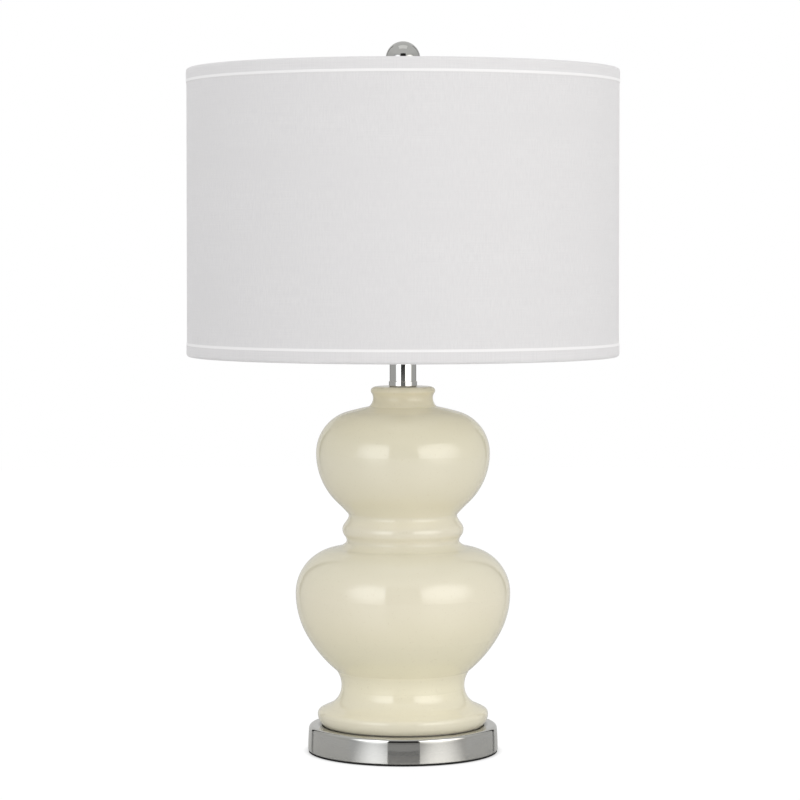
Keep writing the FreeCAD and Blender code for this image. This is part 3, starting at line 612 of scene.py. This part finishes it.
def pressedPan(settings):
    top, bottom, wall = settings["top"], settings["bottom"], settings["wall"]
    radius, heelRound = settings["radius"], settings["heelRound"]
    plate = [point(settings["rodHole"], top), point(settings["plateEdge"], top)]
    side = [plate[-1], point(settings["shoulder"], settings["shoulderHeight"]), point(radius, settings["heel"]),
            point(radius - heelRound, bottom)]
    inside = [
        side[-1], point(settings["flange"], bottom), point(settings["flange"], bottom + wall),
        point(radius - wall, bottom + wall), point(settings["shoulder"] - wall, settings["shoulderHeight"]),
        point(settings["plateEdge"], top - wall), point(settings["rodHole"], top - wall), plate[0],
    ]
    pan = drawOutline("pressedPan", lineChain(plate) + arcChain(side, 0) + lineChain(inside), settings["fineness"])
    spinAround(pan, settings["steps"])
    selectOnly()
    bpy.ops.mesh.primitive_cylinder_add(
        vertices=settings["outletSides"], radius=settings["outletRadius"] * mm, depth=settings["outletDepth"] * mm,
        location=(0, radius * mm, settings["outletHeight"] * mm), rotation=(pi / 2, 0, 0),
    )
    punch = nameIt("outletPunch")
    hole = pan.modifiers.new("outlet", "BOOLEAN")
    hole.object = punch
    applyAll(pan)
    selectOnly(punch)
    bpy.ops.object.delete()
    smooth(pan, 25)
    return finishPiece(pan, "lamp_body", steel, ("base_pan",))


pressedPan(panSettings)
print("base pressed")


# Threads.

def rolledThread(name, settings):
    # One turn of a round thread, screwed up the axis, then cut square at both ends.
    crest, root, pitch = settings["crest"], settings["root"], settings["pitch"]
    low, high = settings["low"], settings["high"]
    start = low - pitch
    turns = int((high - low) / pitch) + 3
    stations = [point(root, start), point((root + crest) / 2, start + pitch / 4), point(crest, start + pitch / 2),
                point((root + crest) / 2, start + pitch * 3 / 4), point(root, start + pitch)]
    thread = drawOutline(name, arcChain(stations[:3], pi / 2) + backwards(arcChain(stations[:1:-1], -pi / 2)),
                         settings["fineness"])
    screw = thread.modifiers.new("screw", "SCREW")
    screw.axis = "Z"
    screw.screw_offset = pitch * mm
    screw.iterations = turns
    screw.steps = screw.render_steps = settings["steps"]
    screw.use_merge_vertices = True
    screw.merge_threshold = 0.00001
    applyAll(thread)
    for height, above in ((high, True), (low, False)):
        selectOnly(thread)
        bpy.ops.object.mode_set(mode="EDIT")
        bpy.ops.mesh.select_all(action="SELECT")
        bpy.ops.mesh.bisect(
            plane_co=(0, 0, height * mm), plane_no=(0, 0, 1), clear_outer=above, clear_inner=not above,
        )
        bpy.ops.object.mode_set(mode="OBJECT")
    tidyNormals(thread)
    addWall(thread, settings["wall"] * mm, settings["side"])
    applyAll(thread)
    tidyNormals(thread)
    smooth(thread, 60)
    return thread


bulbThreadSettings = {"crest": 13.0, "root": 12.55, "pitch": 3.6286, "low": 433.6, "high": 453.6, "wall": 0.14,
                      "side": -1.0, "steps": 64, "fineness": 4}
bulbThread = rolledThread("bulbThread", bulbThreadSettings)
finishPiece(bulbThread, "bulb", aluminium, ("bulb_screw_base",))
print("threads rolled")


# The studio.

def seenOnlyInGloss(card):
    card.visible_camera = card.visible_diffuse = card.visible_shadow = False
    card.visible_transmission = card.visible_volume_scatter = False


def glowMaterial(name, colour, strength):
    material = bpy.data.materials.new(name)
    material.use_nodes = True
    tree = material.node_tree
    tree.nodes.clear()
    glow = add(tree, "Emission", Color=(*colour, 1), Strength=strength)
    add(tree, "OutputMaterial", {"Surface": glow.outputs["Emission"]})
    return material, tree, glow


def around(azimuth, distance, height):
    # Azimuth from the front, positive to the camera's right.
    turn = radians(azimuth)
    return (distance * sin(turn), -distance * cos(turn), height)


def studioCard(name, settings):
    # A flat that faces the lamp's axis and that only reflections see.
    selectOnly()
    place = around(settings["azimuth"], settings["distance"], settings["height"])
    bpy.ops.mesh.primitive_plane_add(size=1, location=place, rotation=(pi / 2, 0, radians(settings["azimuth"])))
    card = nameIt(name)
    card.scale = (settings["wide"], settings["tall"], 1)
    material, tree, glow = glowMaterial(name, settings["colour"], settings["glow"])
    card.data.materials.append(material)
    seenOnlyInGloss(card)
    return card, tree, glow


def softPanel(name, settings):
    # A diffusion panel, brightest at its lamp and fading outwards over the fabric.
    card, tree, glow = studioCard(name, settings)
    wide, tall = settings["wide"], settings["tall"]
    fadeWide, fadeTall = settings["fadeWide"], settings["fadeTall"]
    shift = (-(wide / 2 + settings["lampSide"]) / fadeWide, -(tall / 2) / fadeTall, 0)
    cloth = add(tree, "TexCoord").outputs["UV"]
    centred = add(tree, "Mapping", {"Vector": cloth}, Location=shift, Scale=(wide / fadeWide, tall / fadeTall, 0))
    spot = add(tree, "TexGradient", {"Vector": centred.outputs["Vector"]})
    spot.gradient_type = "SPHERICAL"
    faded = add(tree, "MapRange", {"Value": spot.outputs["Fac"]})
    faded.interpolation_type = "SMOOTHSTEP"
    for socket, key in (("From Max", "fadeEdge"), ("To Min", "edgeGlow"), ("To Max", "lampGlow")):
        faded.inputs[socket].default_value = settings[key]
    tree.links.new(faded.outputs["Result"], glow.inputs["Strength"])


def sideLamp(name, settings):
    # A plain area lamp beside the panel, for the soft light itself.
    place = around(settings["azimuth"], settings["distance"], settings["height"])
    bpy.ops.object.light_add(type="AREA", location=place)
    lamp = nameIt(name)
    lamp.rotation_euler = (pi / 2, 0, radians(settings["azimuth"]))
    lamp.data.shape = "RECTANGLE"
    lamp.data.size = settings["wide"]
    lamp.data.size_y = settings["tall"]
    lamp.data.energy = settings["watts"]
    lamp.data.color = settings["colour"]
    lamp.visible_glossy = False


leftPanel = {"azimuth": -42.0, "distance": 1.15, "height": 0.55, "wide": 1.02, "tall": 1.3, "fadeWide": 0.82,
             "fadeTall": 0.70, "fadeEdge": 0.75, "lampSide": 0.184, "edgeGlow": 0.45, "lampGlow": 3.1,
             "glow": 1.0, "colour": (0.97, 0.985, 1.0)}
rightPanel = {"azimuth": 50.0, "distance": 1.15, "height": 0.55, "wide": 1.335, "tall": 1.3, "fadeWide": 0.98,
              "fadeTall": 0.70, "fadeEdge": 0.75, "lampSide": -0.123, "edgeGlow": 0.45, "lampGlow": 3.2,
              "glow": 1.0, "colour": (1.0, 0.985, 0.95)}
softPanel("leftPanel", leftPanel)
softPanel("rightPanel", rightPanel)
leftLamp = {"azimuth": -46.0, "distance": 1.7, "height": 0.55, "wide": 1.3, "tall": 1.1, "watts": 1.2,
            "colour": (0.97, 0.985, 1.0)}
rightLamp = {"azimuth": 32.0, "distance": 1.9, "height": 0.55, "wide": 1.3, "tall": 1.1, "watts": 6.0,
             "colour": (1.0, 0.985, 0.95)}
sideLamp("leftLamp", leftLamp)
sideLamp("rightLamp", rightLamp)

darkFlat = {"azimuth": 1.0, "distance": 3.4, "height": 1.4, "wide": 2.3, "tall": 3.0, "colour": (0.02, 0.02, 0.02),
            "glow": 1.0}
rearFlat = {"azimuth": 180.0, "distance": 2.9, "height": 1.3, "wide": 3.8, "tall": 3.4, "colour": (0.62, 0.62, 0.61),
            "glow": 1.0}
frontSill = {"azimuth": 1.0, "distance": 3.35, "height": 0.09, "wide": 2.3, "tall": 0.24,
             "colour": (0.22, 0.22, 0.215), "glow": 1.0}
studioCard("darkFlat", darkFlat)
studioCard("frontSill", frontSill)
studioCard("rearFlat", rearFlat)
seamFlat = {"azimuth": 143.0, "distance": 2.8, "height": 1.3, "wide": 0.36, "tall": 3.4,
            "colour": (0.02, 0.02, 0.02), "glow": 1.0}
for side in (-1, 1):
    studioCard("seamFlat", dict(seamFlat, azimuth=side * seamFlat["azimuth"]))

overheadFlat = {"wide": 1.5, "deep": 1.1, "height": 2.7, "forward": 0.25, "colour": (0.82, 0.82, 0.80)}
selectOnly()
bpy.ops.mesh.primitive_plane_add(size=1, location=(0, -overheadFlat["forward"], overheadFlat["height"]))
overhead = nameIt("overheadFlat")
overhead.scale = (overheadFlat["wide"], overheadFlat["deep"], 1)
overhead.data.materials.append(glowMaterial("overheadFlat", overheadFlat["colour"], 1.0)[0])
seenOnlyInGloss(overhead)

roomSettings = {"radius": 3.7, "tall": 3.5, "low": -0.1, "sides": 96, "colour": (1.0, 1.0, 0.98),
                "wallGlow": 0.46, "highGlow": 0.58, "highFrom": 1.0, "highTo": 3.2}
roomMiddle = roomSettings["low"] + roomSettings["tall"] / 2
selectOnly()
bpy.ops.mesh.primitive_cylinder_add(
    vertices=roomSettings["sides"], radius=roomSettings["radius"], depth=roomSettings["tall"],
    end_fill_type="NGON", location=(0, 0, roomMiddle),
)
room = nameIt("studioRoom")
roomWall, roomTree, roomGlow = glowMaterial("roomWall", roomSettings["colour"], 1.0)
roomHeight = add(roomTree, "SeparateXYZ", {"Vector": sizedCoordinates(roomTree)}).outputs["Z"]
roomFade = spread(roomTree, roomHeight, roomSettings["wallGlow"], roomSettings["highGlow"],
                  roomSettings["highFrom"] - roomMiddle, roomSettings["highTo"] - roomMiddle)
roomTree.links.new(roomFade, roomGlow.inputs["Strength"])
room.data.materials.append(roomWall)
seenOnlyInGloss(room)


def seenRays(tree, glossShare=1.0):
    # One where the camera or glass looks, a share of it in reflections, nought for the light itself.
    rays = add(tree, "LightPath").outputs
    gloss = maths(tree, "MULTIPLY", rays["Is Glossy Ray"], glossShare)
    seenDirectly = maths(tree, "MAXIMUM", rays["Is Camera Ray"], rays["Is Transmission Ray"])
    return maths(tree, "MAXIMUM", gloss, seenDirectly)


skySettings = {"level": 0.985, "overhead": 0.85, "fromHeight": 0.1, "toHeight": 1.0, "seen": 1.0}
world = bpy.data.worlds.new("studioSky")
bpy.context.scene.world = world
world.use_nodes = True
sky = world.node_tree
sky.nodes.clear()
up = add(sky, "SeparateXYZ", {"Vector": add(sky, "TexCoord").outputs["Generated"]}).outputs["Z"]
strength = spread(sky, up, skySettings["level"], skySettings["overhead"], skySettings["fromHeight"],
                  skySettings["toHeight"])
ambient = add(sky, "Background", {"Strength": strength}, Color=(1, 1, 1, 1))
seen = add(sky, "Background", Color=(1, 1, 1, 1), Strength=skySettings["seen"])
skyMix = add(sky, "MixShader", {0: seenRays(sky), 1: ambient.outputs["Background"], 2: seen.outputs["Background"]})
add(sky, "OutputWorld", {"Surface": skyMix.outputs["Shader"]})

floorSettings = {"radius": 3600, "well": 87, "gap": 0.05, "steps": 128, "colour": (0.72, 0.72, 0.72),
                 "glossColour": (0.50, 0.50, 0.50), "rough": 0.05, "ior": 1.65, "glow": 1.05, "share": 0.93,
                 "glossShare": 0.05, "paintedShadowReach": 0.006}
floorEnds = [point(reach, -floorSettings["gap"]) for reach in (floorSettings["well"], floorSettings["radius"])]
floor = drawOutline("studioFloor", lineChain(floorEnds), 1)
spinAround(floor, floorSettings["steps"])
if floor.data.polygons[0].normal.z < 0:
    bpy.ops.object.mode_set(mode="EDIT")
    bpy.ops.mesh.flip_normals()
    bpy.ops.object.mode_set(mode="OBJECT")
floorMaterial, floorTree, floorGlow = glowMaterial("paleFloor", (1, 1, 1), floorSettings["glow"])
inGloss = add(floorTree, "LightPath").outputs["Is Glossy Ray"]
bodyColour = blendColours(floorTree, inGloss, floorSettings["colour"], floorSettings["glossColour"])
floorBody = add(floorTree, "BsdfPrincipled", {"Base Color": bodyColour}, Roughness=floorSettings["rough"],
                IOR=floorSettings["ior"])
# Painted shadow: the floor's glow is dimmed where ambient occlusion finds the lamp close by, round the base.
paintedContactShadow = add(floorTree, "AmbientOcclusion", Distance=floorSettings["paintedShadowReach"])
share = maths(floorTree, "MULTIPLY", seenRays(floorTree, floorSettings["glossShare"]), floorSettings["share"])
clear = maths(floorTree, "MULTIPLY", share, paintedContactShadow.outputs["AO"])
floorMix = add(floorTree, "MixShader", {0: clear, 1: floorBody.outputs["BSDF"], 2: floorGlow.outputs["Emission"]})
# The underside is clear and the floor is open below the felt, so that the foot can be seen from below.
oneSided = add(floorTree, "MixShader", {
    0: add(floorTree, "NewGeometry").outputs["Backfacing"], 1: floorMix.outputs["Shader"],
    2: add(floorTree, "BsdfTransparent").outputs["BSDF"],
})
floorOut = next(node for node in floorTree.nodes if node.type == "OUTPUT_MATERIAL")
floorTree.links.new(oneSided.outputs["Shader"], floorOut.inputs["Surface"])
floor.data.materials.append(floorMaterial)

# The lean takes up most of the photograph's shift, so that other views keep the whole lamp in the frame.
cameraSettings = {"x": -0.0028, "distance": 2.8303, "height": 0.4824, "lean": 1.929, "lens": 134.37,
                  "sensor": 36.0, "shiftY": -0.07, "farthest": 30.0}
bpy.ops.object.camera_add(
    location=(cameraSettings["x"], -cameraSettings["distance"], cameraSettings["height"]),
    rotation=(pi / 2 - radians(cameraSettings["lean"]), 0, 0),
)
camera = nameIt("productCamera")
camera.data.lens = cameraSettings["lens"]
camera.data.sensor_width = cameraSettings["sensor"]
camera.data.shift_y = cameraSettings["shiftY"]
camera.data.clip_end = cameraSettings["farthest"]
bpy.context.scene.camera = camera
bpy.context.scene.view_settings.view_transform = "Standard"
print("studio set")
